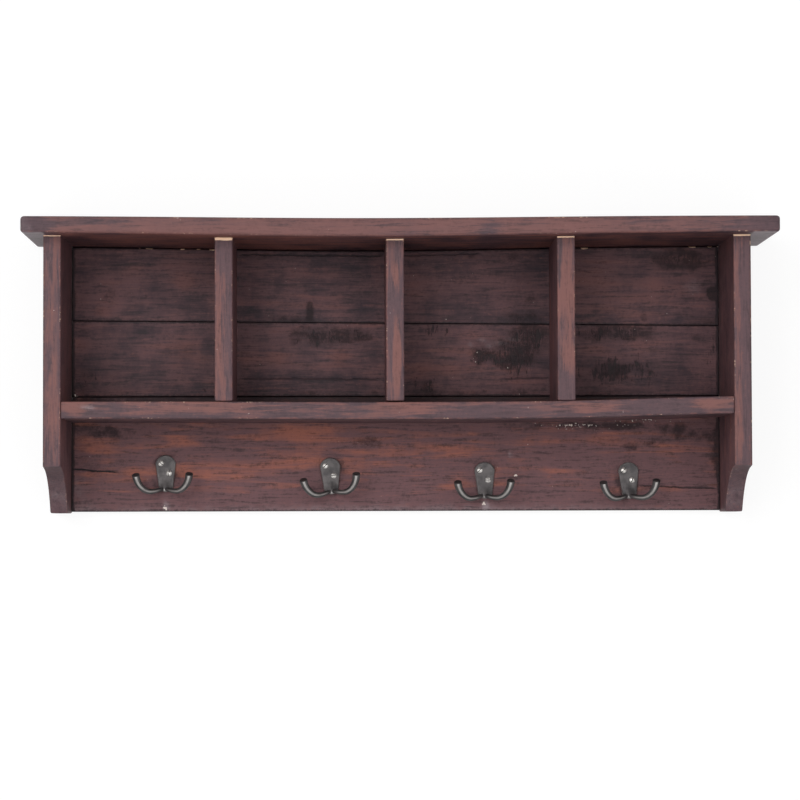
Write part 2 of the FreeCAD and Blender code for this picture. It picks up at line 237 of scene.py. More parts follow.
def studio_white(name, white_share, clear_behind):
    """Matt white that the camera sees as part plain white, and that may be clear to all other rays.

    No plain white shows behind the rack: there the matt is painted black, a painted shade."""
    finish = Finish(bpy.data.materials.new(name))
    seen = finish.node("ShaderNodeLightPath", output="Is Camera Ray")
    place = finish.node("ShaderNodeTexCoord", output="Object")
    across = finish.node("ShaderNodeSeparateXYZ", None, {"Vector": place}, output="X")
    height = finish.node("ShaderNodeSeparateXYZ", None, {"Vector": place}, output="Z")
    shaded = across.math("GREATER_THAN", across, shade_low[0] - SHADE_MARGIN)
    shaded = shaded * across.math("LESS_THAN", across, shade_high[0] + SHADE_MARGIN)
    shaded = shaded * height.math("GREATER_THAN", height, shade_low[2])
    shaded = shaded * height.math("LESS_THAN", height, shade_high[2] + SHADE_MARGIN)
    # painted shade: behind the rack the matt of the wall turns black
    white = finish.mix(shaded, MATT_WHITE, BLACK)
    matt = finish.node("ShaderNodeBsdfDiffuse", None, {"Color": white})
    glow = finish.node("ShaderNodeEmission", None, {"Color": PLAIN_WHITE, "Strength": WHITE})
    share = seen * (1 - shaded) * white_share
    look = finish.node("ShaderNodeMixShader", None, {"Fac": share, "Shader": matt, "Shader_001": glow})
    if clear_behind:
        front = 1 - finish.node("ShaderNodeNewGeometry", output="Backfacing")
        clear = finish.node("ShaderNodeBsdfTransparent")
        parts = {"Fac": seen * front, "Shader": clear, "Shader_001": look}
        look = finish.node("ShaderNodeMixShader", None, parts)
    finish.node("ShaderNodeOutputMaterial", None, {"Surface": look})
    return finish.owner


stage_x = (-STAGE_HALF, STAGE_HALF, STAGE_HALF, -STAGE_HALF)
floor_y = (-STAGE_HALF, -STAGE_HALF, STAGE_HALF / 2, STAGE_HALF / 2)
wall_z = (FLOOR_Z, FLOOR_Z, WALL_TOP, WALL_TOP)
pale_floor = studio_white("pale_floor", FLOOR_SHARE, clear_behind=False)
white_wall = studio_white("white_wall", WALL_SHARE, clear_behind=True)
sheet("floor", [(x, y, FLOOR_Z) for x, y in zip(stage_x, floor_y)], pale_floor)
sheet("wall", [(x, WALL_GAP, z) for x, z in zip(stage_x, wall_z)], white_wall)
print("stage: floor and wall")

# %% [markdown]
# ## Light
# A picture like this is lit by soft boxes. Point lamps would draw hard shadows, so three squares of
# light stand in for them: a strong one on the left that models the boards, a weak one on the right that
# opens the shadows, and a low one that reaches under the top and the shelf. The world fills in evenly,
# and is full white where the camera, a mirror or a clear surface looks straight at it.

# %% Light
ROOM_LIGHT = 0.5

world = bpy.data.worlds.new("studio")
bpy.context.scene.world = world
sky = Finish(world)
direct = [sky.node("ShaderNodeLightPath", output=ray) for ray in
          ("Is Camera Ray", "Is Glossy Ray", "Is Transmission Ray")]
shown = sky.step(direct[0] + direct[1] + direct[2], 0.0, 1.0)
strength = ROOM_LIGHT + shown * (1 - ROOM_LIGHT)
sky_light = sky.node("ShaderNodeBackground", None, {"Color": PLAIN_WHITE, "Strength": strength})
sky.node("ShaderNodeOutputWorld", None, {"Surface": sky_light})


def lamp(name, place, target, size, watts):
    """Square soft box that faces a point."""
    light = bpy.data.lights.new(name, "AREA")
    light.size = size
    light.energy = watts
    thing = bpy.data.objects.new(name, light)
    thing.visible_camera = False
    thing.location = place
    thing.rotation_euler = (Vector(target) - Vector(place)).to_track_quat("-Z", "Y").to_euler()
    bpy.context.scene.collection.objects.link(thing)


lamp("soft_box_left", place=(-1.6, -3.4, 0.8), target=(0, 0, -0.1), size=1.8, watts=48)
lamp("soft_box_right", place=(2.0, -3.0, 0.4), target=(0, 0, -0.1), size=1.8, watts=15)
lamp("soft_box_low", place=(0.0, -1.9, -0.85), target=(0, 0, -0.05), size=1.6, watts=12)
bpy.context.scene.view_settings.view_transform = "Standard"
print("light: the world and three soft boxes")

# %% [markdown]
# ## A skin over loops
# Boards, hooks and screws are all one kind of surface: closed loops carried along a path, with the ends
# closed by a pole. On a grid the loop number and the place round the loop are the two parameters, so
# the faces follow from the shape of the array and no loop over vertices is needed. A piece may have
# several such shells. Each shell is turned so that its volume is positive, which makes its faces point
# outwards.

# %% Skin
CREASE = math.radians(35)               # edges that turn by more than this stay sharp


def shell_faces(rows, cols):
    """Faces of a shell: quads between neighbouring loops and a fan of triangles at either pole."""
    row, col = np.meshgrid(np.arange(rows - 1), np.arange(cols), indexing="ij")
    a = row * cols + col
    b = row * cols + (col + 1) % cols
    quads = np.stack([a, b, b + cols, a + cols], axis=-1).reshape(-1, 4)
    k = np.arange(cols)
    after = (k + 1) % cols
    last = (rows - 1) * cols
    first_fan = np.stack([np.full(cols, rows * cols), after, k], axis=-1)
    last_fan = np.stack([np.full(cols, rows * cols + 1), last + k, last + after], axis=-1)
    return quads, np.concatenate([first_fan, last_fan])


def with_poles(grid):
    """Values of a grid as one list, followed by the mean of its first and of its last loop."""
    flat = grid.reshape(-1, *grid.shape[2:])
    return np.concatenate([flat, grid[:1].mean(axis=1), grid[-1:].mean(axis=1)])


def volume(points, quads, fans):
    """Six times the volume inside a shell, from the triple product of every triangle."""
    tris = np.concatenate([quads[:, [0, 1, 2]], quads[:, [0, 2, 3]], fans])
    a, b, c = (points[tris[:, i]] for i in range(3))
    return np.einsum("ij,ij->", a, np.cross(b, c))


def skin(name, shells, replaced, material, marks):
    """Object over one or more shells, which are arrays of loops in mm, that stands for CAD nodes.

    Each mark is a list of grids, one for each shell."""
    points, faces, start = [], [], 0
    for loops in shells:
        quads, fans = shell_faces(*loops.shape[:2])
        shell = with_poles(loops)
        if volume(shell - shell.mean(axis=0), quads, fans) < 0:
            quads, fans = quads[:, ::-1], fans[:, ::-1]
        points.append(shell)
        faces += (quads + start).tolist() + (fans + start).tolist()
        start += len(shell)
    mesh = bpy.data.meshes.new(name)
    mesh.from_pydata(np.concatenate(points) * MM, [], faces)
    for mark, grids in marks.items():
        layer = mesh.attributes.new(mark, "FLOAT", "POINT")
        layer.data.foreach_set("value", np.concatenate([with_poles(g) for g in grids]).astype(np.float32))
    mesh.shade_smooth()
    mesh.set_sharp_from_angle(angle=CREASE)
    mesh.materials.append(material)
    thing = bpy.data.objects.new(name, mesh)
    bpy.context.scene.collection.objects.link(thing)
    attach(thing, "root")
    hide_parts(*replaced)
    print(name, "faces", len(mesh.polygons))


quads, fans = shell_faces(2, 4)
print("two loops of four points make", len(quads), "quads and", len(fans), "triangles")

# %% [markdown]
# ## A board
# A new board has sharp arrises, and a rubbed one has soft ones. The surface starts as a plain box: the
# outline of its cross-section at places along its length, and smaller outlines on its two ends. Every
# point is then pulled in to a fixed distance from the box that lies that far inside, and this rounds all
# arrises and corners at once. A Bevel modifier would round them too, but here the grid stays known, and
# two marks can be kept on it for the stain: the distance to the nearest arris, and how far a point
# belongs to the front, where hands rub.

# %% Board
CORNER = np.array([0.0, 0.3, 0.65, 1.0])  # shares of the rounding at which a corner gets points
FRONT_REACH = 6.0                         # the front's look fades out this far behind the arris, mm
FLUSH = 0.1                               # the wood has shrunk this far from the ends of brads, mm
BOARD_STEP = 5.0                          # points on the flats of a board lie about this far apart, mm


def spread(half, ease, step):
    """Places from -half to half: close together in the rounded corners, about a step apart between."""
    corner = half - ease * CORNER[:-1]
    flat = half - ease
    between = np.linspace(-flat, flat, max(2, round(2 * flat / step) + 1))
    return np.concatenate([-corner, between, corner[::-1]])


def box_loops(half, ease, step):
    """Loops over a plain box of the given half sizes: its sides along the first axis, then both ends."""
    along, across, through = (spread(h, ease, step) for h in half)
    one = np.ones(across.size - 1)
    two = np.ones(through.size - 1)
    v = np.concatenate([across[:-1], two * half[1], across[:0:-1], two * -half[1]])
    w = np.concatenate([one * -half[2], through[:-1], one * half[2], through[:0:-1]])
    inset = ease * CORNER[1:]
    end = np.full(inset.size, half[0])
    u = np.concatenate([-end, along, end])[:, None]
    inset = np.concatenate([inset[::-1], np.zeros(along.size), inset])[:, None]
    return np.stack(np.broadcast_arrays(u, v * (1 - inset / half[1]), w * (1 - inset / half[2])), axis=-1)


def board(node, order, ease, step=BOARD_STEP, ends=True):
    """Rounded board over a node, whose length, width and thickness lie on the axes in order.

    Gives its points in mm, the distance of each to the nearest arris, and its share of the front. Ends
    that are let into other boards have no arris."""
    low, high = box_mm(node)
    order = list(order)
    half = ((high - low) / 2 - FLUSH)[order]
    box = box_loops(half, ease, step)
    core = np.clip(box, ease - half, half - ease)
    out = box - core
    eased = core + out * (ease / np.linalg.norm(out, axis=-1, keepdims=True))
    margin = half - np.abs(box)
    if not ends:
        margin[..., 0] += half[0]
    edge = np.sort(margin, axis=-1)[..., 1]
    depth = box[..., order.index(1)] + half[order.index(1)]
    front = np.clip(1 - depth / FRONT_REACH, 0, 1)
    points = np.empty_like(eased)
    points[..., order] = eased + ((low + high) / 2)[order]
    return points, edge, front


LENGTH_X = (0, 1, 2)     # top and shelf: length, width and thickness along X, Y and Z
PLANK_X = (0, 2, 1)      # back planks
UPRIGHT = (2, 1, 0)      # dividers and panels
print("corner points:", CORNER.size)

# %% [markdown]
# ## Stained, rubbed wood
# The boards were wiped with a dark mahogany stain that pooled in hollows and round knots, and were then
# rubbed, so the front edges went back to a greyish pink and a little bare wood shows where the brush did
# not reach. One recipe covers all boards. Noise that is stretched along the grain gives broad bands, red
# streaks and fine fibres, and noise across the grain gives the strokes of torn wood. The marks on the
# mesh say where the front, the worn places, the dark stain, the splits and the bare wood are, and where
# painted shade and painted light lie, and the noise frays their borders. A mark that a mesh lacks counts
# as 0.

# %% Stained wood
NEAR_BLACK = paint(28, 20, 24)
DEEP_BROWN = paint(51, 37, 45)
WARM_BROWN = paint(102, 71, 74)
RED_BROWN = paint(146, 88, 74)
GREY_MAUVE = paint(89, 70, 75)
RUBBED_PINK = paint(129, 86, 80)
ASH_AND_LIT_GREY = paint(150, 138, 142)
GRAIN_X, GRAIN_Z = 0, 2                 # the axis along which a board's grain runs
EVEN = 0.5                              # a noise swings about this value


def wood_noises(f, grain, seed):
    """Noises of one board, from broad to fine; most are stretched along the grain or across it.

    Each has the length of its lumps along the grain, their width, in mm, and its layer in the seed."""

    def lumps(length, width, layer, **more):
        size = [width] * 3
        size[grain] = length
        return f.noise(size, seed + layer, **more)

    return SimpleNamespace(
        bands=lumps(420, 40, 0.0, detail=4.0),
        clouds=lumps(55, 55, 0.11, detail=5.0, rough=0.62),
        streaks=lumps(150, 11, 0.31, detail=5.0, rough=0.6, bend=0.8),
        strokes=lumps(5, 24, 0.41, detail=3.0, rough=0.6, bend=0.9),
        fray=lumps(15, 15, 0.83, detail=4.0, rough=0.65),
        fibres=lumps(46, 3.8, 0.57, detail=4.0, rough=0.7, bend=0.7),
        speckle=lumps(4.2, 4.2, 0.21, detail=3.0, rough=0.7),
        chips=lumps(2.4, 2.4, 0.97, detail=0.0),
    )


def first_coat(f, n, warmth, light, rub):
    """Colour of the wiped wood: brown by its tone, red in streaks, mauve on the front and pink where rubbed.

    Ash covers it where the mark says so; under the top's overhang that grey is a painted light. Single
    fibres are darker or paler."""
    front = f.mark("front")
    worn = f.mark("worn")
    tone = n.bands * 0.2 + n.clouds * 0.35 + n.streaks * 0.2 + n.fray * 0.15 + n.fibres * 0.1 + light
    colour = f.mix(f.step(tone, 0.40, 0.60), DEEP_BROWN, WARM_BROWN)
    red = f.step(n.streaks * 0.6 + n.clouds * 0.4 + worn + light * 0.3, 0.52, 0.70)
    colour = f.mix(red * warmth, colour, RED_BROWN)
    colour = f.mix(front * 0.72, colour, GREY_MAUVE)
    rubbed = n.clouds * 0.1 + n.bands * 0.1 + n.streaks * 0.3 + n.fibres * 0.35 + n.fray * 0.15
    rubbed = f.step(rubbed + worn + light, 0.45, 0.59)
    colour = f.mix(front * rubbed * rub, colour, RUBBED_PINK)
    # the ash mark also carries painted light: the pale grey under the top's overhang
    ash = f.step(f.mark("ash") + (n.fray - EVEN) * 0.5, 0.1, 0.9)
    colour = f.mix(ash * 0.85, colour, ASH_AND_LIT_GREY)
    lines = f.step(n.fibres * 0.7 + n.speckle * 0.3, 0.52, 0.35)
    colour = f.mix(lines * (0.64 - front * 0.25), colour, NEAR_BLACK)
    pale = f.step(n.fibres * 0.6 + n.speckle * 0.4, 0.54, 0.68)
    return f.mix(pale * 0.45, colour, RUBBED_PINK)


print("first coat: seven colours")

# %% [markdown]
# ## Dark stain, painted shade and wear
# The second coat stands in the hollows: it pools at the dark marks and fills the strokes of torn wood.
# Where a dark mark stands for shade, the same black is a painted shade.
# What happened to the rack since then lies over it. Inner arrises are dark, arrises on the front are
# rubbed and flaked, splits are open, and bare strips and chalky nicks are left. Each is a soft step of a
# mark and a noise, so its border frays. The fibres, strokes and splits also give a fine relief.

# %% Dark stain, painted shade and wear
BARE_WOOD = paint(255, 216, 184)
CHALK = paint(214, 200, 192)
FRONT_RUB = 0.75                        # how strongly the streaks on a front were rubbed
SHEEN = 0.28                            # reflection of the dry stain, where 0.5 is that of varnish
RELIEF = 0.5                            # depth of the relief, mm


def dark_stain_and_shade(f, n, colour):
    """Colour with stain and painted shade at the dark marks, stain in torn strokes, and both shares."""
    front = f.mark("front")
    hatch = f.mark("hatch")
    loose = (n.clouds - EVEN) * 1.6 + (n.fray - EVEN) * 2.0 + (n.fibres - EVEN) * 1.4
    pooled_and_shade = f.step(f.mark("dark") * 1.3 + loose * (1 - front * 0.6), 0.42, 1.15)
    gaps = f.step(n.strokes * 0.6 + n.speckle * 0.4, 0.46, 0.56)
    pooled_and_shade = pooled_and_shade * (1 - f.step(hatch, 0.15, 0.8) * gaps * 0.7)
    ragged = (n.strokes - EVEN) * 3.6 + (n.fray - EVEN) * 2.0 + (n.speckle - EVEN) * 1.6
    torn = f.step(hatch + ragged, 0.75, 1.2) * f.step(hatch, 0.05, 0.35)
    colour = f.mix(pooled_and_shade * 0.8, colour, NEAR_BLACK)
    return f.mix(torn * 0.85, colour, NEAR_BLACK), pooled_and_shade, torn


def wear(f, n, colour):
    """Colour with arrises, flakes, splits, bare strips and nicks in turn, and the share of the splits."""
    front = f.mark("front")
    chipped = f.mark("chipped")
    rim = f.step(f.mark("edge") + (n.speckle - EVEN) * 5.0, 2.8, 0.4)
    colour = f.mix(rim * (1 - front) * 0.75, colour, NEAR_BLACK)
    colour = f.mix(rim * front * f.step(n.fray, 0.5, 0.62) * 0.5, colour, RUBBED_PINK)
    flaked = f.step(n.speckle, 0.57, 0.66) * f.step(n.clouds, 0.48, 0.58)
    colour = f.mix(rim * front * flaked * 0.7, colour, BARE_WOOD)
    gap = f.mark("split") + (n.fray - EVEN) * 5.0
    split = f.mark("open") * f.step(gap.math("ABSOLUTE", gap, 0.0), 1.3, 0.5)
    colour = f.mix(split, colour, NEAR_BLACK)
    bare = f.step(f.mark("bare") + (n.fray - EVEN) * 0.35, 0.95, 1.05)
    colour = f.mix(bare, colour, BARE_WOOD)
    sparse = f.step(n.clouds * 0.6 + n.fray * 0.4 + chipped * 0.12, 0.52, 0.60)
    nicks = f.step(n.chips + chipped * 0.2, 0.82, 0.86) * sparse + f.step(chipped, 2.1, 2.5)
    return f.mix(nicks * 0.9, colour, CHALK), split


def stained_wood(name, grain, seed, warmth, light, rub=FRONT_RUB):
    """Stain of one board: grain is its long axis, warmth its share of red and light its lift in tone.

    The lift is painted light on the hook board and the uprights. The last value is how strongly the
    streaks on its front were rubbed."""
    f = Finish(bpy.data.materials.new(name))
    n = wood_noises(f, grain, seed)
    colour, pooled_and_shade, torn = dark_stain_and_shade(f, n, first_coat(f, n, warmth, light, rub))
    colour, split = wear(f, n, colour)
    gloss = 0.50 + n.fibres * 0.18 + pooled_and_shade * 0.1
    relief = n.fibres * 0.7 + n.streaks * 0.4 + n.speckle * 0.4 + n.clouds - torn * 0.6 - split * 2.0
    return f.surface({"Base Color": colour, "Roughness": gloss, "Specular IOR Level": SHEEN}, relief, RELIEF)


print("dark stain and wear: two colours more")

# %% [markdown]
# ## Marks on a board
# The stain has to know where the wood was dark, torn, split or rubbed. A painted picture would do, but a
# list of places can be read and changed: a spot is a soft ellipse with a place, two half sizes and a
# strength, and a split is a sloping line. Their sums are worked out at the points of the mesh.

# %% Marks
PAST_END = 3                            # past its ends a line counts as this many times farther off
SPLIT_TAPER = 8.0                       # a split closes over this length past its ends, mm
SPLIT_REACH, SPLIT_FADE = 12.0, 4.0     # its mark ends this far from the line, and fades before, mm


def soft_spots(across, up, spots):
    """Sum of soft ellipses: each spot has a place, two half sizes and a strength."""
    x, z, wide, high, strength = np.array(spots, float).T
    bells = np.exp(-(((across[..., None] - x) / wide) ** 2) - (((up[..., None] - z) / high) ** 2))
    return bells @ strength


def smooth(share):
    """Soft step from 0 to 1."""
    share = np.clip(share, 0, 1)
    return share * share * (3 - 2 * share)


def split_marks(across, up, lines):
    """Height above the nearest of some sloping lines, and how far a split along it is open."""
    x0, z0, x1, z1, strength = np.array(lines, float).T
    share = (across[..., None] - x0) / (x1 - x0)
    above = up[..., None] - z0 - share * (z1 - z0)
    beyond = np.clip(np.abs(share - 0.5) - 0.5, 0, None) * (x1 - x0)
    nearest = np.argmin(np.abs(above) + PAST_END * beyond, axis=-1)[..., None]
    above, beyond = (np.take_along_axis(a, nearest, axis=-1)[..., 0] for a in (above, beyond))
    along = smooth(1 - beyond / SPLIT_TAPER)
    beside = smooth((SPLIT_REACH - np.abs(above)) / SPLIT_FADE)
    return above, strength[nearest[..., 0]] * along * beside


def dress(node, points, stain, **marks):
    """Board surface over one node with its stain and its marks."""
    material = stained_wood("stain_" + node, **stain)
    marks = {name: [values] for name, values in marks.items()}
    skin(node + "_surface", [points], [node], material, marks)


print("a soft step at a quarter:", smooth(0.25))

# %% [markdown]
# ## Top board
# The top is the heaviest board. Its lower face has sunk a little between the side panels, and its upper
# face has worn down along the front, ahead of the brads. Both bends are one bell-shaped curve along X. A
# lattice could bend the board as well, but a formula also tells the boards below where the lower face
# lies. The lower faces of the ends, under the overhang, are painted pale grey: a painted light for the
# light they catch from below.

# %% Top board
TOP_EASE = 4.5
SAG_MIDDLE, SAG_REACH = -40.0, 270.0
UPPER_RISE, UPPER_SAG = 0.4, 3.0        # of the upper face's front, at the ends and in the middle, mm
WORN_FROM, WORN_DEPTH = -128.0, 45.0    # the upper face bends ahead of this place along Y, mm
LOWER_RISE, LOWER_SAG = 2.2, 5.6        # of the lower face

FACE_REACH = 1.0                        # points this near a face belong to it, mm
PANEL_LAP = 2.0                         # painted light under the ends laps this far over the panels, mm
UNDER_DARK, FRONT_DARK = 0.12, 0.05     # the lower face between the panels is made darker; stain on the front
TOP_STAIN = dict(grain=GRAIN_X, seed=1.0, warmth=0.6, light=0.0, rub=0.5)
TOP_EVEN = 0.07                         # the front is rubbed less strongly than others, but more evenly
TOP_ASH = [(-452, 58, 16, 30, 0.35)]
TOP_WORN = [
    (-200, 54, 150, 9, 0.10), (60, 54, 60, 8, 0.04), (200, 56, 120, 8, 0.05), (-448, 55, 24, 30, -0.4),
    (440, 55, 40, 30, -0.15), (110, 52, 14, 10, -0.15),
]
top_low, top_high = box_mm("top_board")
carcass_low, carcass_high = box_mm("side_panel_left")[0], box_mm("side_panel_right")[1]


def bell(x):
    """Share of the sag at a place along the top."""
    return np.exp(-(((x - SAG_MIDDLE) / SAG_REACH) ** 2))


def underside(x):
    """Height of the top's lower face at a place along it."""
    return top_low[2] + LOWER_RISE - LOWER_SAG * bell(x)


def settle(points):
    """Points of the top board moved by the bend of its faces, shared out through its thickness."""
    share = (points[..., 2] - top_low[2]) / (top_high[2] - top_low[2])
    lower = underside(points[..., 0])
    ahead = smooth((WORN_FROM - points[..., 1]) / WORN_DEPTH)
    upper = top_high[2] + ahead * (UPPER_RISE - UPPER_SAG * bell(points[..., 0]))
    points[..., 2] = lower + share * (upper - lower)
    return points


points, edge, front = board("top_board", LENGTH_X, TOP_EASE)
x, z = points[..., 0], points[..., 2]
lower_face = z < top_low[2] + FACE_REACH
outside = (x < carcass_low[0] + PANEL_LAP) | (x > carcass_high[0] - PANEL_LAP)
# under the overhang the lower faces get the mark in full: a painted light, not ash
ash = 1.0 * (lower_face & outside) + soft_spots(x, z, TOP_ASH) * front
worn = TOP_EVEN + soft_spots(x, z, TOP_WORN)
dark = UNDER_DARK * (lower_face & ~outside) + FRONT_DARK * front
marks = {"edge": edge, "front": front, "worn": worn, "dark": dark, "ash": ash}
dress("top_board", settle(points), TOP_STAIN, **marks)

# %% [markdown]
# ## Shelf
# The shelf runs between the side panels and has sprung up at its right end. The bend is a soft step, and
# the middle sags a little, as a bell-shaped curve. Both only move points of the board up or down.

# %% Shelf
BOARD_EASE = 2.0
SPRING_FROM, SPRING_TO, SPRING_RISE = 170.0, 430.0, 5.0
SHELF_SAG, SHELF_SAG_REACH = 1.3, 200.0
SHELF_WORN = [
    (-388, -160, 14, 8, 0.25), (-240, -158, 60, 8, 0.10), (0, -158, 40, 7, 0.14), (240, -160, 40, 8, 0.12),
    (375, -162, 20, 8, 0.2), (120, -165, 60, 12, -0.1), (310, -162, 80, 20, -0.12), (0, -168, 500, 4, -0.06),
]
SHELF_CHALK = [(-375, -159, 10, 4, 0.6)]
SHELF_STAIN = dict(grain=GRAIN_X, seed=2.0, warmth=0.5, light=0.0)

points, edge, front = board("shelf_board", LENGTH_X, BOARD_EASE, ends=False)
x = points[..., 0]
worn = soft_spots(x, points[..., 2], SHELF_WORN)
points[..., 2] += SPRING_RISE * smooth((x - SPRING_FROM) / (SPRING_TO - SPRING_FROM))
points[..., 2] -= SHELF_SAG * np.exp(-((x / SHELF_SAG_REACH) ** 2))
ash = front * soft_spots(x, points[..., 2], SHELF_CHALK)
dress("shelf_board", points, SHELF_STAIN, edge=edge, front=front, worn=worn, ash=ash)

# %% [markdown]
# ## Dividers
# Each divider stands on the shelf and ends in a groove under the top. The brush stopped short of that
# groove, so a strip of bare wood shows at the top of the front edge, tallest on the left one. A bare
# strip is marked by a number that grows with the height and passes 1 at its lower border, so the border
# stays sharp between the points of the mesh.

# %% Dividers
STRIP_RAMP = 6.0                        # height over which the mark of a bare strip grows by 1, mm
# painted light: SIDE_LIGHT lifts the shaded sides; FRONT_DULL lowers the fronts' wear to offset it
SIDE_LIGHT, FRONT_DULL = 0.06, 0.08     # lift in tone of the sides, and what the fronts lose of their wear
DIVIDER_SEED, DIVIDER_WARMTH = 3.0, 0.5
DIVIDERS = {                            # height of the bare strip, mm, and worn spots
    "divider_left": (3.0, [(-216, -70, 6, 80, 0.10), (-206, 30, 10, 26, -0.2)]),
    "divider_centre": (1.5, [(-3, 2, 4, 16, 0.25), (-1.5, -98, 3.5, 34, 0.5), (-8, -60, 4, 60, -0.15)]),
    "divider_right": (1.4, [(204, -16, 11, 40, 0.16), (204, -98, 12, 18, 0.1), (204, -135, 14, 14, -0.2)]),
}


def bare_strip(points, front, strip):
    """Mark of a bare strip of the given height under the top board, on the front edge alone."""
    border = underside(points[..., 0]) - strip
    return front * np.clip(1 + (points[..., 2] - border) / STRIP_RAMP, 0, None)


for number, (node, (strip, spots)) in enumerate(DIVIDERS.items()):
    points, edge, front = board(node, UPRIGHT, BOARD_EASE, ends=False)
    worn = (soft_spots(points[..., 0], points[..., 2], spots) - FRONT_DULL) * front
    bare = bare_strip(points, front, strip)
    stain = dict(grain=GRAIN_Z, seed=DIVIDER_SEED + number, warmth=DIVIDER_WARMTH, light=SIDE_LIGHT)
    dress(node, points, stain, edge=edge, front=front, worn=worn, bare=bare)

# %% [markdown]
# ## Side panels
# A side panel is a board too, but its front sweeps back in a hollow cove above the foot. A Boolean cut
# would leave long, uneven faces there. The cove is an arc whose centre lies straight below the arris, so
# the front depth at a height is known, and the plain board is pressed back to it with its even grid.
# Behind each hanger the rear edge has a pocket for a screw head.

# %% Side panels
COVE_HEIGHT = 55.0
COVE_RADIUS = 108.0
POCKET_DEPTH, POCKET_INSET = 8.0, 3.2   # the pocket stays this far inside the outline of its hanger, mm
PANEL_STEP = 3.0                        # points lie closer than on other boards, for the cove, mm
FRONT_LEAST = 0.9                       # the arris of the cove shows where the share of the front is larger
OUTER_DARK = (-100, 3.5, 300, 0.7)      # stain along the outer arris: its place along Z, half sizes, strength
FOOT_RISE, FOOT_ASH = 20, (900, 30, 0.35)   # grey of the foot: its height, mm, half sizes and strength
PANEL_SEED, PANEL_WARMTH = 6.0, 0.45
PANELS = {                              # hanger, height of the bare strip, mm, and worn spots
    "side_panel_left": ("hanger_left", 1.2, [(-418, -160, 9, 60, 0.07), (-418, -260, 30, 26, -0.3)]),
    "side_panel_right": ("hanger_right", 1.8, [(412, -150, 7, 90, 0.07), (424, -60, 6, 120, -0.22),
                                               (418, -260, 30, 26, -0.3)]),
}


def cove_depth(z, low):
    """Depth of the panel at a height: full above the arris, less the arc's sweep below it."""
    arris = low[2] + COVE_HEIGHT
    rise = np.clip(z - (arris - COVE_RADIUS), None, COVE_RADIUS)
    return -low[1] - np.sqrt(COVE_RADIUS ** 2 - rise ** 2)


def panel(node, hanger, seed, strip, spots):
    """Side panel: a board whose points keep their share of the depth as the cove presses them back."""
    low, high = box_mm(node)
    points, edge, front = board(node, UPRIGHT, BOARD_EASE, step=PANEL_STEP, ends=False)
    x, z = points[..., 0], points[..., 2]
    arris = low[2] + COVE_HEIGHT
    points[..., 1] *= cove_depth(z, low) / -low[1]
    inside = (box_mm(hanger) - points[..., None, :]) * np.array([[-1], [1]])
    pocket = (inside.min(axis=-2)[..., [0, 2]] > POCKET_INSET).all(axis=-1) & (points[..., 1] > -FACE_REACH)
    points[..., 1] -= POCKET_DEPTH * pocket
    edge = np.where(front > FRONT_LEAST, np.minimum(edge, np.abs(z - arris)), edge)
    worn = (soft_spots(x, z, spots) - FRONT_DULL) * front
    outer = high[0] if low[0] > 0 else low[0]
    dark = soft_spots(x, z, [(outer, *OUTER_DARK)])
    ash = front * soft_spots(x, z, [(0, low[2] + FOOT_RISE, *FOOT_ASH)])
    bare = bare_strip(points, front, strip)
    stain = dict(grain=GRAIN_Z, seed=seed, warmth=PANEL_WARMTH, light=SIDE_LIGHT)
    dress(node, points, stain, edge=edge, front=front, worn=worn, dark=dark, ash=ash, bare=bare)


for number, (node, (hanger, strip, spots)) in enumerate(PANELS.items()):
    panel(node, hanger, PANEL_SEED + number, strip, spots)

# %% [markdown]
# ## Places on the back planks
# Two planks close the cubbies and a wide board below them carries the hooks. They took the stain
# unevenly: it stands black round knots and in torn wood. The dark places are named one by one, as soft
# ellipses in X and Z, and the splits as sloping lines with a strength. Two kinds of dark place are
# painted shade: a band along the foot of the cubbies, just above the shelf, and a ring round each hook
# plate, which is partly stain and partly painted contact shadow.

# %% Places on the back planks
UPPER = {
    "dark": [(-338, -12, 34, 9, 0.35), (-395, -20, 10, 60, 0.3), (-108, -33, 6, 12, 1.1),
             (-140, -42, 30, 9, 0.5), (-150, 36, 80, 9, 0.5), (165, 0, 30, 46, 0.45),
             (60, 36, 120, 8, 0.4), (358, 32, 40, 14, 1.05), (399, -10, 7, 9, 1.8),
             (313, -39, 6, 5, 0.6), (388, -46, 26, 9, 0.6), (166, -44, 28, 12, 0.7), (-90, -46, 60, 5, 0.4)],
    "hatch": [(358, 33, 34, 9, 0.7), (168, -44, 26, 12, 0.7), (-300, -14, 26, 12, 0.3),
              (396, 0, 12, 20, 0.4)],
    "worn": [(-265, 4, 16, 12, 0.18), (-370, -32, 12, 8, 0.2), (-80, 10, 40, 20, 0.05),
             (290, -10, 60, 30, 0.04)],
    "ash": [(376, -2, 18, 13, 0.3)],
    "splits": [(-192, 39, -20, 37, 0.8), (10, 37, 100, 40, 0.6)],
}
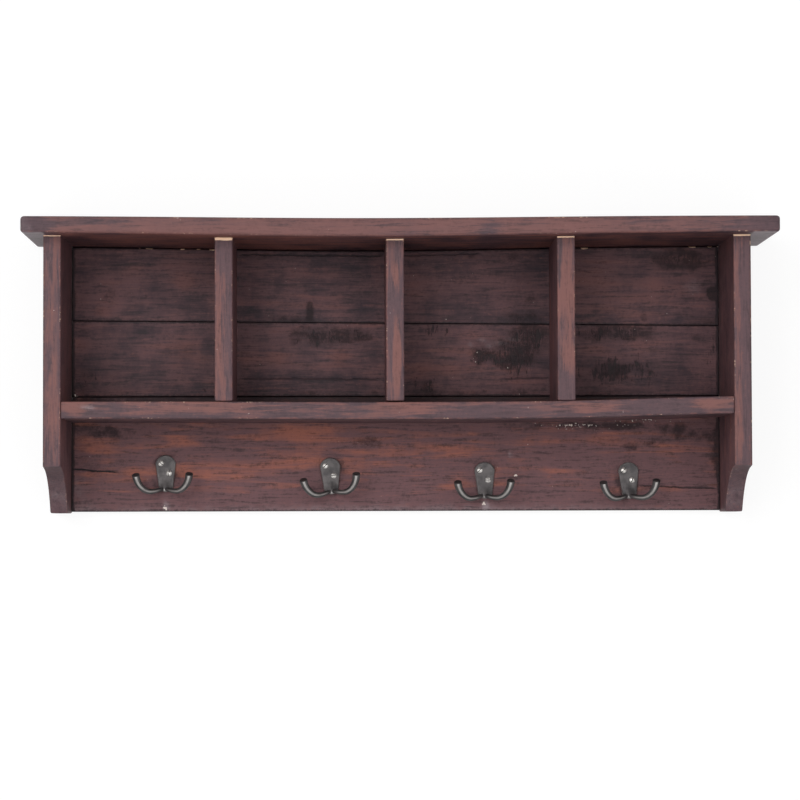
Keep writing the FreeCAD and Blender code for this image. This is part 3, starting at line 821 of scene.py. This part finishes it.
MIDDLE = {
    "dark": [(-330, -62, 60, 6, 0.3), (-97, -64, 42, 15, 1.0), (-43, -64, 30, 12, 0.5),
             (106, -86, 10, 9, 0.9), (146, -92, 34, 18, 0.9), (168, -66, 32, 22, 1.0),
             (42, -58, 28, 9, 0.5), (276, -60, 64, 11, 0.95), (384, -68, 18, 9, 0.7),
             # (0, -136) below is painted shade: a dark band along the foot of the cubbies, above the shelf
             (282, -108, 52, 18, 0.65), (0, -136, 420, 8, 0.5), (36, -126, 20, 12, 0.5),
             (-385, -112, 22, 20, 0.5)],
    "hatch": [(-97, -66, 34, 14, 0.75), (-46, -63, 30, 9, 0.35), (148, -96, 27, 19, 1.2),
              (106, -88, 18, 10, 0.9), (170, -66, 24, 14, 0.9), (270, -60, 44, 9, 0.9),
              (284, -108, 48, 18, 1.15), (44, -58, 26, 9, 0.7), (-382, -112, 24, 20, 0.6),
              (400, -80, 16, 40, 0.5), (36, -126, 22, 12, 0.8), (-240, -132, 12, 8, 0.8)],
    "worn": [(-262, -78, 26, 20, 0.12), (-70, -88, 14, 12, 0.2), (-150, -88, 12, 8, 0.12),
             (40, -100, 40, 18, 0.1)],
    "ash": [(94, -75, 6, 4, 0.4), (107, -69, 7, 4, 0.45), (117, -77, 6, 4, 0.45), (132, -73, 10, 4, 0.45),
            (150, -68, 12, 4, 0.4)],
    "chipped": [(-403, -139, 3, 4, 2.5)],
    "splits": [(-190, -117, -25, -119, 0.5), (140, -118, 190, -117, 0.5)],
}
HOOKED = {
    "dark": [(-362, -184, 60, 11, 0.75), (-33, -197, 24, 11, 0.7), (250, -177, 110, 6, 0.9),
             (404, -206, 12, 34, 0.7), (307, -202, 30, 8, 0.5), (365, -189, 50, 11, 0.65),
             (-120, -182, 70, 3, 0.4), (140, -215, 10, 5, 0.5), (-390, -230, 30, 14, 0.35),
             # the rings round the four hook plates: partly stain, partly painted contact shadow
             (-290, -236, 17, 27, 0.9), (-84, -239, 17, 27, 0.9), (110, -245, 17, 27, 0.9),
             # (0, -146) is painted shade along the foot of the cubbies, where the hook board shows above the
             # shelf
             (291, -246, 17, 27, 0.9), (0, -146, 500, 9, 1.4), (0, -288, 500, 10, 0.4)],
    "hatch": [(-33, -197, 18, 8, 0.4), (307, -201, 20, 6, 0.5), (140, -214, 8, 5, 0.5)],
    "worn": [(-140, -184, 50, 5, 0.2), (-120, -215, 60, 14, 0.1), (-330, -205, 50, 10, 0.08),
             (60, -205, 50, 10, 0.08), (-220, -240, 60, 14, 0.06), (0, -285, 500, 14, -0.5)],
    "ash": [(-289, -277, 4, 8, 0.5), (112, -277, 4, 8, 0.5), (0, -288, 500, 13, 0.5),
            (-400, -260, 20, 30, 0.3), (143, -214, 4, 5, 0.55)],
    "chipped": [(227, -178, 40, 5, 1.2), (314, -171, 34, 4.5, 1.15), (-290, -279, 2.0, 2.0, 3.6),
                (110, -276, 2.0, 2.0, 3.6), (150, -240, 2.0, 2.0, 2.8)],
    "splits": [(-402, -231, -356, -234, 1.0), (310, -253, 398, -257, 0.8)],
}
print("spots:", [sum(map(len, places.values())) for places in (UPPER, MIDDLE, HOOKED)])

# %% [markdown]
# ## Back planks
# The seam between the two planks slopes, so the points by the seam follow a straight line from end to
# end. The edges of a plank are planed out of square, so a gap that is open at the front is tight at the
# back. The upper plank stops a little short of the top board and shows its bare arris in the two outer
# cubbies, in bits whose height is a sum of sines.

# %% Back planks
UPPER_STAIN = dict(grain=GRAIN_X, seed=8.0, warmth=0.22, light=0.01)
MIDDLE_STAIN = dict(grain=GRAIN_X, seed=9.0, warmth=0.28, light=0.03)
# painted light: light=0.14 lifts the hook board, which the shelf shades
HOOKED_STAIN = dict(grain=GRAIN_X, seed=10.0, warmth=1.0, light=0.14)
PLANK_STEP = 4.0                        # points on a plank lie about this far apart, mm
SEAM_LEFT, SEAM_RIGHT = 92.0, 99.0      # height of the upper plank at its two ends, mm
SEAM_GAP, TOP_GAP = 0.5, 1.6            # below the upper plank and above it, at the front, mm
TOP_CLOSE = 2.4                         # the rear of the upper plank also closes the top's rounded arris, mm
PLANK_EASE = 0.6
TIGHT = 1.35                            # the planed edges close this share of a gap at the back
END_SWELL = 1.1                         # the planks have swollen this far into the gaps at their ends, mm
END_SHADE, END_REACH = 1.3, 2.5         # painted shade in those gaps, and how far it reaches along X, mm
ARRIS_STRIP, ARRIS_LEAST = 1.3, 0.2     # tallest and lowest bits of bare wood on the upper plank, mm
ARRIS_BITS = [(-255, 0, 50, 1, 1.0), (388, 0, 28, 1, 1.0), (239, 0, 7, 1, 1.0)]
ARRIS_WAVES = ((3.1, 0), (7.3, 1), (17, 2))    # wave lengths over 2 pi, mm, and phases
ARRIS_MEAN, ARRIS_SWING = 0.35, 0.4

upper_low, upper_high = box_mm("back_plank_upper")
middle_low = box_mm("back_plank_middle")[0]
hooked_low, hooked_high = box_mm("hook_board")
foot_gap = middle_low[2] - hooked_high[2]


def seam(x):
    """Height of the sloping seam at a place along the planks, from the planks' common ends."""
    share = (x - upper_low[0]) / (upper_high[0] - upper_low[0])
    return upper_high[2] - SEAM_LEFT - share * (SEAM_RIGHT - SEAM_LEFT)


def plank(node, spots, stain, fit, gaps, marks=None):
    """Back plank with its dark places; fit gives its lowest and highest edge at a place along X.

    The gaps below and above it are closed at its back. A function of X and Z may give more marks."""
    low, high = box_mm(node)
    points, edge, _ = board(node, PLANK_X, PLANK_EASE, step=PLANK_STEP)
    points[..., 0] *= 1 + END_SWELL / high[0]
    x, y, z = (points[..., axis] for axis in range(3))
    rear = (y - low[1]) / (high[1] - low[1])
    bottom, top = fit(x)
    bottom, top = bottom - rear * gaps[0] * TIGHT, top + rear * gaps[1] * TIGHT
    z[...] = bottom + (z - low[2]) / (high[2] - low[2]) * (top - bottom)
    face = rear < 0.5
    split, gap = split_marks(x, z, spots["splits"])
    given = {name: soft_spots(x, z, spots[name]) for name in spots if name != "splits"}
    # painted shade: the plank ends are darkened where they meet the side panels
    ends = [(end, 0, END_REACH, 1, END_SHADE) for end in (low[0], high[0])]
    given["dark"] += soft_spots(x, 0 * x, ends)
    given |= marks(x, z) if marks else {}
    given = {name: face * values for name, values in given.items()}
    dress(node, points, stain, edge=edge, split=split, open=gap * face, **given)


def bare_arris(x, z):
    """Bare wood along the top arris of the upper plank, in broken bits in the two outer cubbies."""
    waves = sum(np.sin(x / length + phase) for length, phase in ARRIS_WAVES)
    strip = ARRIS_STRIP * soft_spots(x, 0 * x, ARRIS_BITS) * np.clip(ARRIS_MEAN + ARRIS_SWING * waves, 0, 1)
    grown = 1 + (z - underside(x) + TOP_GAP + strip) / STRIP_RAMP
    return {"bare": np.clip(grown, 0, None) * (strip > ARRIS_LEAST)}


plank("back_plank_upper", UPPER, UPPER_STAIN, lambda x: (seam(x), underside(x) - TOP_GAP),
      (SEAM_GAP, TOP_CLOSE), bare_arris)
plank("back_plank_middle", MIDDLE, MIDDLE_STAIN, lambda x: (middle_low[2], seam(x) - SEAM_GAP),
      (foot_gap, 0.0))
plank("hook_board", HOOKED, HOOKED_STAIN, lambda x: (hooked_low[2], hooked_high[2]), (0.0, 0.0))

# %% [markdown]
# ## Cast iron
# The hooks are cast, dipped dark and rubbed, so the hollows stay black and the rims shine. The mark
# `edge` is the distance to the rim on a plate; along the front of the prongs and on the top of the boss
# it carries a painted highlight. A fine noise stands for the skin that the sand of the mould leaves.

# %% Cast iron finish
IRON_DARK = paint(64, 61, 62)
IRON_GREY = paint(90, 86, 86)
IRON_BRIGHT = paint(206, 202, 198)
SAND_DEPTH = 0.10                       # relief of the skin, mm


def cast_iron():
    """Dark pewter that is rubbed bright on rims, with painted highlights on the prongs and the boss."""
    f = Finish(bpy.data.materials.new("cast_iron"))
    grain = f.noise((1.3, 1.3, 1.3), 0.2, detail=3.0)
    patches = f.noise((9, 9, 9), 0.6, detail=3.0)
    colour = f.mix(f.step(patches, 0.35, 0.65), IRON_DARK, IRON_GREY)
    # the mark edge gives rubbed rims, and the painted highlights on the prongs and the boss
    rim = f.step(f.mark("edge") + (patches - EVEN) * 1.2, 1.3, 0.2)
    colour = f.mix(rim * 0.6, colour, IRON_BRIGHT)
    gloss = 0.46 - rim * 0.12 + grain * 0.1
    looks = {"Base Color": colour, "Roughness": gloss, "Metallic": 0.6}
    return f.surface(looks, grain + patches * 2.0, SAND_DEPTH)


iron = cast_iron()
print("cast iron ready")

# %% [markdown]
# ## Hook plates
# A hook is one casting: an egg-shaped plate, and two prongs that leave its foot. An egg that is extruded
# and bevelled would give the plate, but not its boss or the distance of each point to the rim. So the
# plate is a stack of egg outlines that grow from the middle of its back, go round the rim and shrink to
# the middle of its front, where the boss takes in the roots of the prongs. The back is hidden and gets
# fewer outlines.

# %% Hook plates
PLATE_WIDTH, FOOT_WIDTH, PLATE_HEIGHT, PLATE_THICK, PLATE_EASE = 26.0, 19.0, 46.0, 3.0, 1.0
HEART = 0.45                            # the outlines shrink towards this share of the height
ROOT_DROP = 44.5                        # from the top of the plate to the roots of the prongs, mm
BOSS_WIDE, BOSS_HIGH, BOSS_OUT = 6.5, 11.0, 5.0
RIM_DULL = 0.5                          # added to the mark edge, so that the rim is not fully bright, mm
BOSS_HIGHLIGHT = 0.8                          # the same mark at the top of the boss, a painted highlight, mm
AROUND, RIM_RINGS, FACE_RINGS = 64, 5, 14
BACK_EVERY = 4                          # the back has one outline for every four of the front


def egg(count):
    """Egg outline in X and Z: a wide crown arc and a narrow foot arc, joined by their tangents."""
    crown, foot = PLATE_WIDTH / 2, FOOT_WIDTH / 2
    drop = PLATE_HEIGHT - crown - foot
    lean = math.asin((crown - foot) / drop)
    t = np.linspace(-math.pi / 2, 3 * math.pi / 2, count, endpoint=False)
    upper = np.sin(t) > math.sin(lean)
    radius = np.where(upper, crown, foot)
    middle = np.where(upper, -crown, -crown - drop)
    return np.stack([radius * np.cos(t), middle + radius * np.sin(t)], axis=-1)


def plate_loops(shift):
    """Rings of the plate from the middle of its back over the eased rim to the middle of its front.

    The boss is a bell in X and Z, moved along X by half the shift of the prongs."""
    outline = egg(AROUND)
    heart = np.array([0.0, -PLATE_HEIGHT * HEART])
    reach = np.linalg.norm(outline - heart, axis=-1)
    arc = np.linspace(0, math.pi / 2, RIM_RINGS)
    rim = 1 - PLATE_EASE * (1 - np.cos(arc))[:, None] / reach
    inner = np.linspace(1, 0, FACE_RINGS)[1:-1, None] * rim[-1:]
    back = inner[::-BACK_EVERY]
    share = np.concatenate([back, np.ones((1, AROUND)), rim, inner])
    flat = heart + (outline - heart) * share[..., None]
    hidden = np.zeros(len(back) + 1)
    shown = np.full(len(inner), PLATE_THICK)
    depth = np.concatenate([hidden, PLATE_THICK - PLATE_EASE + PLATE_EASE * np.sin(arc), shown])[:, None]
    x, z = flat[..., 0], flat[..., 1]
    boss = np.exp(-(((x - shift / 2) / BOSS_WIDE) ** 2) - (((z + ROOT_DROP) / BOSS_HIGH) ** 2))
    y = -depth - BOSS_OUT * boss * depth / PLATE_THICK
    edge = RIM_DULL + (1 - share) * reach
    # the top of the boss gets a painted highlight through the mark edge
    return np.stack([x, y, z], axis=-1), edge + (BOSS_HIGHLIGHT - edge) * boss


print("outlines on a plate:", len(plate_loops(0.0)[0]))

# %% [markdown]
# ## Prongs
# A prong grows thicker along a run, which dips and falls a little from the plate, and along an arc up to
# a cut tip. A curve with a round bevel could be such a tube, but its end would be square, and this cut
# leans to the front. So the prong is made ring by ring, with the last rings sheared, and three smaller
# ones close it with a soft rim. A bright line along the side that faces the front is a painted highlight.

# %% Prongs
ROOT_OUT, RUN, BEND = 3.5, 20.5, 23.5   # root ahead of the board, straight run and radius of the arc, mm
ROOT_LIFT = 2.2                         # a prong leaves the plate this far above the run's own line, mm
SPREAD, DIP, RISE = (math.radians(a) for a in (42.0, 2.0, 83.0))
ROOT_R, TIP_R = 2.5, 4.9
SWELL = 1.1                             # the radius grows with this power of the length
TIP_LEAN, LEAN_REACH = 0.42, 9.0        # slope of the cut, and the length that is sheared, mm
CAP_IN = np.array([0.25, 0.6, 2.0])     # how much smaller the last rings are, mm
CAP_OUT = np.array([0.3, 0.4, 0.4])     # and how far beyond the tip they lie, mm
RUN_RINGS, BEND_RINGS, RING_POINTS = 8, 22, 28
HIGHLIGHT_FROM, HIGHLIGHT_FULL = 3.0, 16.0          # where the painted highlight starts and is full, mm
HIGHLIGHT_BAND = 0.88                         # painted highlight where a ring faces the front by more than this share
PRONG_DULL, PRONG_HIGHLIGHT, CUT_DULL = 1.5, 0.4, 4.0    # the mark edge on a prong, its painted highlight and its cut, mm


def prong_loops(side, shift):
    """Rings along one prong: a straight run, then an arc, with a growing radius and a leaning cut."""
    out = np.array([side * math.cos(SPREAD), -math.sin(SPREAD), 0.0])
    across = np.array([side * math.sin(SPREAD), math.cos(SPREAD), 0.0])
    up = np.array([0.0, 0.0, 1.0])
    run = np.linspace(0, RUN, RUN_RINGS, endpoint=False)
    turn = np.linspace(0, RISE + DIP, BEND_RINGS)
    angle = np.concatenate([np.full(run.size, -DIP), turn - DIP])[:, None]
    heading = out * np.cos(angle) + up * np.sin(angle)
    normal = up * np.cos(angle) - out * np.sin(angle)
    root = np.array([shift, -ROOT_OUT, -ROOT_DROP])
    start = root + heading[:1] * run[:, None]
    centre = root + heading[0] * RUN + normal[0] * BEND
    spine = np.concatenate([start, centre - normal[run.size:] * BEND])
    length = np.concatenate([run, RUN + turn * BEND])
    spine[:, 2] += ROOT_LIFT * (1 - smooth(length / RUN))
    radius = ROOT_R + (TIP_R - ROOT_R) * (length / length[-1]) ** SWELL

    cap = CAP_IN.size
    rows = (spine, heading, normal, length, radius)
    rows = (np.concatenate([row, np.repeat(row[-1:], cap, axis=0)]) for row in rows)
    spine, heading, normal, length, radius = rows
    radius[-cap:] -= CAP_IN
    spine[-cap:] += heading[-1] * CAP_OUT[:, None]

    t = np.linspace(0, 2 * math.pi, RING_POINTS, endpoint=False)
    ring = np.cos(t)[:, None] * across + np.sin(t)[:, None] * normal[:, None, :]
    points = spine[:, None, :] + radius[:, None, None] * ring
    lean = smooth((length - length[-1] + LEAN_REACH) / LEAN_REACH)[:, None]
    slide = TIP_LEAN * lean * (points[..., 1] - spine[:, None, 1])
    points = points + slide[..., None] * heading[:, None, :]
    facing = -ring[..., 1] / np.max(-ring[..., 1], axis=1, keepdims=True)
    # rubbed is a painted highlight here: a line along the side that faces the front
    rubbed = smooth((length - HIGHLIGHT_FROM) / (HIGHLIGHT_FULL - HIGHLIGHT_FROM))[:, None]
    rubbed = rubbed * smooth((facing - HIGHLIGHT_BAND) / (1 - HIGHLIGHT_BAND))
    edge = PRONG_DULL + (PRONG_HIGHLIGHT - PRONG_DULL) * rubbed
    edge[-cap:] = CUT_DULL
    return points, edge


print("rings on a prong:", len(prong_loops(1, 0.0)[0]))

# %% [markdown]
# ## Four hooks
# The hooks were screwed on by hand, so each has its own tilt, and the castings differ: the roots of the
# prongs lie left or right of the plate's middle, and on the second hook the prongs lean more than the
# plate. Plate and prongs are turned about Y in the hook's own frame and then moved to the board.

# %% Four hooks
Hook = namedtuple("Hook", "x z tilt prong_tilt shift")
HOOKS = {        # top of the plate, mm, tilt of the plate and of the prongs, degrees, shift of the roots, mm
    "hook_1": Hook(-289.5, -213.5, 1.0, 1.0, -2.2),
    "hook_2": Hook(-83.6, -217.0, 2.6, 6.5, 0.4),
    "hook_3": Hook(110.5, -223.0, 1.5, 1.5, -2.2),
    "hook_4": Hook(291.5, -223.5, 2.0, 2.0, -1.8),
}
face_y = hooked_low[1]


def spun(points, degrees, middle=(0, 0, 0)):
    """Points turned by an angle about a line along Y through a middle point."""
    c, s = math.cos(math.radians(degrees)), math.sin(math.radians(degrees))
    x, y, z = np.moveaxis(points - np.array(middle), -1, 0)
    return np.stack([x * c - z * s, y, x * s + z * c], axis=-1) + np.array(middle)


def hook_place(points, hook):
    """Points of a hook in its own frame put on the hook board: tilted about Y, then moved."""
    return spun(points, hook.tilt) + np.array([hook.x, face_y, hook.z])


for node, hook in HOOKS.items():
    shells = [plate_loops(hook.shift), prong_loops(-1, hook.shift), prong_loops(1, hook.shift)]
    edges = [edge for points, edge in shells]
    foot = (0.0, 0.0, -ROOT_DROP)
    lean = hook.prong_tilt - hook.tilt
    loops = [spun(points, turn, foot) for (points, edge), turn in zip(shells, (0, lean, lean))]
    loops = [hook_place(points, hook) for points in loops]
    skin(node + "_casting", loops, [node], iron, {"edge": edges})

# %% [markdown]
# ## Slotted screws
# Two bright round-head screws hold each hook. A Boolean could cut the slot out of a dome, but may leave
# stray faces. So a head is made of slices across the slot: every slice is a loop that goes over the dome
# and back along the flat seat, and the slices by the slot's walls stand in pairs, one high and one low,
# so the slot gets upright walls.

# %% Slotted screws
SCREW_SPOTS = ((-6.0, -9.8), (4.0, -22.5))           # on the plate, along X and Z, mm
SCRATCH_DEPTH = 0.03                                 # relief of the steel, mm
SCREW_TURNS = (-42, 80, 38, 4, 40, 2, 44, 66)        # degrees, as the driver left them
HEAD_R, HEAD_HIGH, HEAD_RIM = 3.5, 1.9, 0.35
SLOT_WIDE, SLOT_DEEP = 1.0, 1.1
HEAD_SLICES, SLICE_POINTS = 10, 15                   # on either side of the slot, and over the dome
LAST_SLICE = 0.999                                   # share of the radius at which the last slice lies
SLOT_LEVEL = 90                                      # degrees: a head is made with an upright slot
SCREW_BRIGHT = paint(246, 242, 236)


def head_loops(radius, dome, rim, slot, deep):
    """Slices of a slotted head about the origin, its seat on Y = 0 and its dome towards -Y."""
    side = np.sin(np.linspace(0, 1, HEAD_SLICES) * math.pi / 2)
    side = side * (radius * LAST_SLICE - slot / 2) + slot / 2
    x = np.concatenate([-side[::-1], [-slot / 2, slot / 2], side])[:, None]
    sunk = np.zeros(x.size, bool)
    sunk[side.size:side.size + 2] = True
    chord = np.sqrt(radius ** 2 - x ** 2)
    t = np.linspace(-1, 1, SLICE_POINTS)
    over = chord * np.sin(t * math.pi / 2)
    high = rim + (dome - rim) * (1 - (x ** 2 + over ** 2) / radius ** 2)
    high = np.where(sunk[:, None], np.minimum(high, dome - deep), high)
    seat = chord * np.sin(-t * math.pi / 2)
    y = np.concatenate([-high, np.zeros_like(seat)], axis=1)
    z = np.concatenate([over, seat], axis=1)
    # the rows in the slot carry a painted shade: the slot is painted dark
    slot_shade = np.broadcast_to(sunk[:, None], y.shape).astype(float)
    return np.stack([np.broadcast_to(x, y.shape), y, z], axis=-1), slot_shade


def bright_steel(name, shade, gloss):
    """Turned steel with fine scratches and a little tarnish; the slot is painted dark, a painted shade."""
    f = Finish(bpy.data.materials.new(name))
    tarnish = f.noise((3, 3, 3), 0.4, detail=3.0)
    scratch = f.noise((0.25, 2.5, 2.0), 0.7, detail=2.0)
    colour = f.mix(f.step(tarnish, 0.42, 0.72) * 0.5, shade, IRON_GREY)
    # painted shade in the slot
    colour = f.mix(f.step(f.mark("slot_shade"), 0.2, 0.8), colour, NEAR_BLACK)
    looks = {"Base Color": colour, "Roughness": gloss + scratch * 0.15, "Metallic": 0.75}
    return f.surface(looks, scratch, SCRATCH_DEPTH)


screw_steel = bright_steel("screw_steel_finish", SCREW_BRIGHT, gloss=0.3)
heads = []
head, slot_shade = head_loops(HEAD_R, HEAD_HIGH, HEAD_RIM, SLOT_WIDE, SLOT_DEEP)
for turn, (hook, (x, z)) in zip(SCREW_TURNS, product(HOOKS.values(), SCREW_SPOTS)):
    turned = spun(head, turn + SLOT_LEVEL) + np.array([x, -PLATE_THICK, z])
    heads.append(hook_place(turned, hook))
skin("hook_screw_heads", heads, ["hook_screws"], screw_steel, {"slot_shade": [slot_shade] * len(heads)})

# %% [markdown]
# ## Hangers and brads
# The keyhole hangers on the back and the brads are as the CAD frame has them. They only need a finish:
# zinc with its faint cloudy spangle, and bare wire gone dull. The screws of the hangers get slotted heads
# too, flat ones that face the wall, so the round head's slices are used again with hardly any dome.

# %% Hangers and brads
ZINC_GREY, ZINC_PALE = paint(150, 150, 146), paint(190, 190, 186)
WIRE_GREY, WIRE_RUST = paint(96, 92, 88), paint(70, 52, 44)
SCREW_DULL = paint(150, 148, 140)
WIRE_DEPTH = 0.05                       # relief of the spots, mm
FLAT_R, FLAT_HIGH, FLAT_DOME = 2.8, 1.6, 0.05
FLAT_TURNS = {"hanger_left": (20, 72), "hanger_right": (-35, 12)}    # degrees, upper and lower screw
HANGER_END = 5.5                        # from a screw to the end of its hanger, mm


def zinc():
    """Zinc plate with a cloudy spangle."""
    f = Finish(bpy.data.materials.new("zinc_plate"))
    spangle = f.noise((5, 5, 5), 0.9, detail=2.0)
    scratch = f.noise((0.4, 0.4, 6), 0.3, detail=2.0)
    colour = f.mix(f.step(spangle, 0.35, 0.65), ZINC_GREY, ZINC_PALE)
    gloss = 0.34 + scratch * 0.2
    return f.surface({"Base Color": colour, "Roughness": gloss, "Metallic": 1.0}, scratch, SCRATCH_DEPTH)


def wire():
    """Drawn wire, dull and spotted."""
    f = Finish(bpy.data.materials.new("brad_wire"))
    spots = f.noise((1.2, 1.2, 1.2), 0.5, detail=3.0)
    colour = f.mix(f.step(spots, 0.45, 0.65), WIRE_GREY, WIRE_RUST)
    looks = {"Base Color": colour, "Roughness": 0.5 + spots * 0.2, "Metallic": 0.9}
    return f.surface(looks, spots, WIRE_DEPTH)


def finish_nodes(names, material):
    """Give CAD nodes a finish in every slot of their meshes."""
    for name in names:
        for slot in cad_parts[name].material_slots:
            slot.material = material


finish_nodes(["hanger_left", "hanger_right"], zinc())
finish_nodes(["top_brads", "shelf_brads", "divider_brads", "back_brads"], wire())

flat, slot_shade = head_loops(FLAT_R, FLAT_HIGH, FLAT_HIGH - FLAT_DOME, SLOT_WIDE, SLOT_DEEP)
flat = flat * np.array([1, -1, 1]) - np.array([0, FLAT_HIGH, 0])    # its top faces the wall, on Y = 0
flats = []
for hanger, turns in FLAT_TURNS.items():
    low, high = box_mm(hanger)
    middle = (low + high) / 2
    reach = high[2] - middle[2] - HANGER_END
    for turn, rise in zip(turns, (reach, -reach)):
        flats.append(spun(flat, turn) + np.array([middle[0], high[1], middle[2] + rise]))
dull_steel = bright_steel("dull_steel", SCREW_DULL, gloss=0.36)
slot_shades = {"slot_shade": [slot_shade] * len(flats)}
skin("hanger_screw_heads", flats, ["hanger_screws"], dull_steel, slot_shades)
